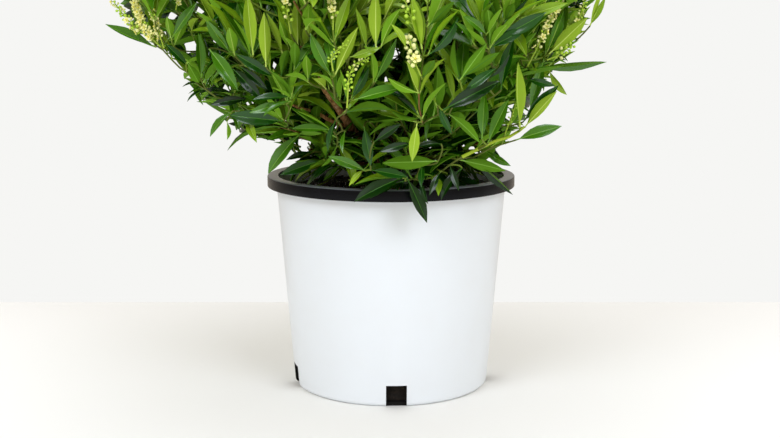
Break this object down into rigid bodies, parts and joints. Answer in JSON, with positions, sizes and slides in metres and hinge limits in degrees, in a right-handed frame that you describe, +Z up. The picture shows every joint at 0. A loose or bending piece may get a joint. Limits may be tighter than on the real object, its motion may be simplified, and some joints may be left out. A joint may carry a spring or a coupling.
{
  "type": "potted cherry laurel",
  "caption": "Narrow-leaved evergreen shrub with a short flared trunk, spreading boughs and rounded leafy masses, standing in a round tapered nursery pot with a flat rim.",
  "frame": {"origin": "centre of the pot's flat underside, where it stands", "axes": "+Z up, -Y towards the viewer's side of the pot, +X to the viewer's right"},
  "size_m": [0.5603, 0.5679, 0.631],
  "materials": {
    "white_plastic": "satin white moulded plastic",
    "black_plastic": "black moulded plastic, lightly scuffed",
    "potting_mix": "damp dark bark and peat mix with white perlite",
    "bark": "thin brown bark, slightly peeling",
    "foliage": "glossy narrow evergreen leaves"
  },
  "bodies": {
    "root": {"pot_shell": "white_plastic", "pot_rim": "black_plastic", "potting_mix": "potting_mix", "trunk": "bark", "leader": "bark", "low_bough_1": "bark", "low_bough_2": "bark", "low_bough_3": "bark", "low_bough_4": "bark", "low_bough_5": "bark", "low_bough_6": "bark", "middle_bough_1": "bark", "middle_bough_2": "bark", "middle_bough_3": "bark", "middle_bough_4": "bark", "middle_bough_5": "bark", "middle_bough_6": "bark", "high_bough_1": "bark", "high_bough_2": "bark", "high_bough_3": "bark", "top_foliage": "foliage", "low_foliage_1": "foliage", "low_foliage_2": "foliage", "low_foliage_3": "foliage", "low_foliage_4": "foliage", "low_foliage_5": "foliage", "low_foliage_6": "foliage", "middle_foliage_1": "foliage", "middle_foliage_2": "foliage", "middle_foliage_3": "foliage", "middle_foliage_4": "foliage", "middle_foliage_5": "foliage", "middle_foliage_6": "foliage", "high_foliage_1": "foliage", "high_foliage_2": "foliage", "high_foliage_3": "foliage"}
  },
  "joints": []
}
